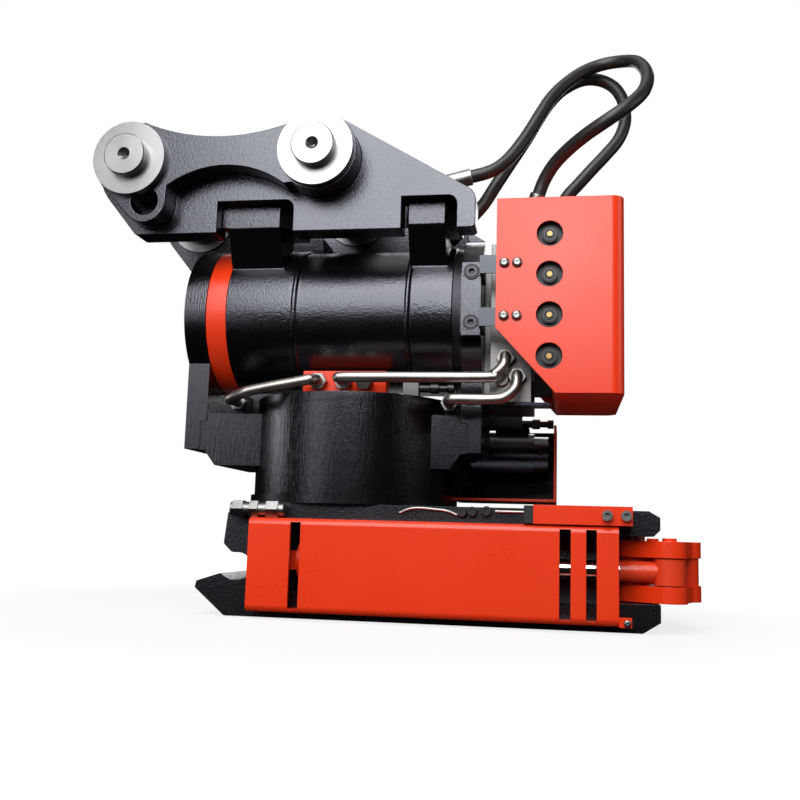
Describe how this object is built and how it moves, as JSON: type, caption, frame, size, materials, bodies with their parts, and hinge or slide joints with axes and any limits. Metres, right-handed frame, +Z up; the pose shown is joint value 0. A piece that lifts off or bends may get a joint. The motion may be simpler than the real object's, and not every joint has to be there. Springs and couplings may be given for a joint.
{
  "type": "excavator tilt rotator",
  "caption": "Hydraulic tilt rotator for an excavator: pin hitch on a helical tilt actuator, worm-driven slew rotator, valve box, and a quick hitch below with a two-finger gripper.",
  "frame": {"origin": "on the slew axis, in the plane of the quick hitch's sole", "axes": "+X from the tool jaw towards the gripper, +Y to the far side of the picture, +Z up along the slew axis"},
  "size_m": [0.854, 0.41, 0.8514],
  "materials": {
    "black_paint": "semi-gloss black machine paint with orange peel",
    "red_paint": "semi-gloss orange-red paint",
    "turned_steel": "bright turned steel",
    "zinc": "zinc-plated steel",
    "chrome": "hard chrome on the rod, painted eye",
    "bronze": "machined bronze",
    "coil_black": "moulded black plastic",
    "brass": "plain brass",
    "hose_rubber": "smooth black rubber cover"
  },
  "bodies": {
    "upper_hitch": {"hitch_plate_near": "black_paint", "hitch_plate_far": "black_paint", "front_hitch_pin": "turned_steel", "rear_hitch_pin": "turned_steel", "pin_collars": "turned_steel", "tilt_housing": "black_paint", "tilt_gland": "turned_steel", "tilt_end_ring": "red_paint", "thrust_ring": "zinc", "hose_port_block": "zinc", "hose_near": "hose_rubber", "hose_far": "hose_rubber"},
    "piston": {"tilt_piston": "turned_steel"},
    "yoke": {"tilt_shaft": "turned_steel", "shaft_end_plate": "black_paint", "front_yoke_plate": "black_paint", "rear_yoke_plate": "black_paint", "lock_bar": "black_paint", "socket_screws": "zinc", "yoke_bolts": "zinc", "rotator_housing": "black_paint", "rotator_lid": "black_paint", "slew_bushes": "bronze", "worm_bearings": "zinc", "hydraulic_motor": "black_paint", "motor_guard": "red_paint", "swivel_block": "red_paint", "steel_pipes": "turned_steel", "pipe_fittings": "zinc", "manifold_block": "zinc", "cover_tabs": "zinc", "manifold_shelf": "black_paint", "valve_cover": "red_paint", "cover_screws": "zinc", "solenoid_valves": "coil_black", "box_ferrules": "zinc"},
    "worm": {"worm_shaft": "turned_steel"},
    "quick_hitch": {"slew_rotor": "turned_steel", "worm_wheel": "bronze", "quick_hitch_body": "black_paint", "slew_bolts": "zinc", "cylinder_guard_near": "red_paint", "cylinder_guard_far": "red_paint", "top_cover": "red_paint", "guard_screws": "zinc", "inline_fitting": "zinc", "lock_cylinder": "turned_steel", "gripper_pins": "turned_steel"},
    "lock": {"lock_bolts": "turned_steel"},
    "arm_near": {"gripper_arm_near": "red_paint"},
    "arm_far": {"gripper_arm_far": "red_paint"},
    "barrel_near": {"grip_barrel_near": "red_paint"},
    "barrel_far": {"grip_barrel_far": "red_paint"},
    "rod_near": {"grip_rod_near": "chrome"},
    "rod_far": {"grip_rod_far": "chrome"},
    "override_1": {"override_pin_1": "brass"},
    "override_2": {"override_pin_2": "brass"},
    "override_3": {"override_pin_3": "brass"},
    "override_4": {"override_pin_4": "brass"}
  },
  "joints": [
    {"name": "tilt", "type": "hinge", "parent": "upper_hitch", "child": "yoke", "pos_m": [0, 0, 0.4302], "axis": [1, 0, 0], "range_deg": [-40, 40], "deforming": ["hose_near", "hose_far"]},
    {"name": "piston_slide", "type": "slide", "parent": "upper_hitch", "child": "piston", "axis": [1, 0, 0], "range_m": [-0.042, 0.042]},
    {"name": "rotate", "type": "hinge", "parent": "yoke", "child": "quick_hitch", "pos_m": [0, 0, 0.16], "axis": [0, 0, 1], "continuous": true},
    {"name": "worm_spin", "type": "hinge", "parent": "yoke", "child": "worm", "pos_m": [0, 0.13, 0.2382], "axis": [1, 0, 0], "continuous": true},
    {"name": "lock", "type": "slide", "parent": "quick_hitch", "child": "lock", "axis": [1, 0, 0], "range_m": [0, 0.046]},
    {"name": "gripper", "type": "hinge", "parent": "quick_hitch", "child": "arm_near", "pos_m": [0.4, -0.087, 0.0765], "axis": [0, 0, 1], "range_deg": [-50, 0]},
    {"name": "gripper_far", "type": "hinge", "parent": "quick_hitch", "child": "arm_far", "pos_m": [0.4, 0.087, 0.0765], "axis": [0, 0, 1], "range_deg": [0, 50]},
    {"name": "barrel_swing_near", "type": "hinge", "parent": "quick_hitch", "child": "barrel_near", "pos_m": [-0.072, -0.119, 0.0765], "axis": [0, 0, 1], "range_deg": [-3, 0]},
    {"name": "barrel_swing_far", "type": "hinge", "parent": "quick_hitch", "child": "barrel_far", "pos_m": [-0.072, 0.119, 0.0765], "axis": [0, 0, 1], "range_deg": [0, 3]},
    {"name": "rod_slide_near", "type": "slide", "parent": "barrel_near", "child": "rod_near", "axis": [1, 0, 0], "range_m": [-0.04, 0]},
    {"name": "rod_slide_far", "type": "slide", "parent": "barrel_far", "child": "rod_far", "axis": [1, 0, 0], "range_m": [-0.04, 0]},
    {"name": "override_1", "type": "slide", "parent": "yoke", "child": "override_1", "axis": [0, 1, 0], "range_m": [0, 0.003], "stiffness_N_per_m": 1500},
    {"name": "override_2", "type": "slide", "parent": "yoke", "child": "override_2", "axis": [0, 1, 0], "range_m": [0, 0.003], "stiffness_N_per_m": 1500},
    {"name": "override_3", "type": "slide", "parent": "yoke", "child": "override_3", "axis": [0, 1, 0], "range_m": [0, 0.003], "stiffness_N_per_m": 1500},
    {"name": "override_4", "type": "slide", "parent": "yoke", "child": "override_4", "axis": [0, 1, 0], "range_m": [0, 0.003], "stiffness_N_per_m": 1500}
  ],
  "couplings": [
    {"joint": "piston_slide", "follows": "tilt", "m_per_rad": 0.0573},
    {"joint": "worm_spin", "follows": "rotate", "ratio": 34},
    {"joint": "gripper_far", "follows": "gripper", "ratio": -1},
    {"joint": "barrel_swing_near", "follows": "gripper", "ratio": 0.053},
    {"joint": "barrel_swing_far", "follows": "gripper", "ratio": -0.053},
    {"joint": "rod_slide_near", "follows": "gripper", "m_per_rad": 0.0423},
    {"joint": "rod_slide_far", "follows": "gripper", "m_per_rad": 0.0423}
  ]
}
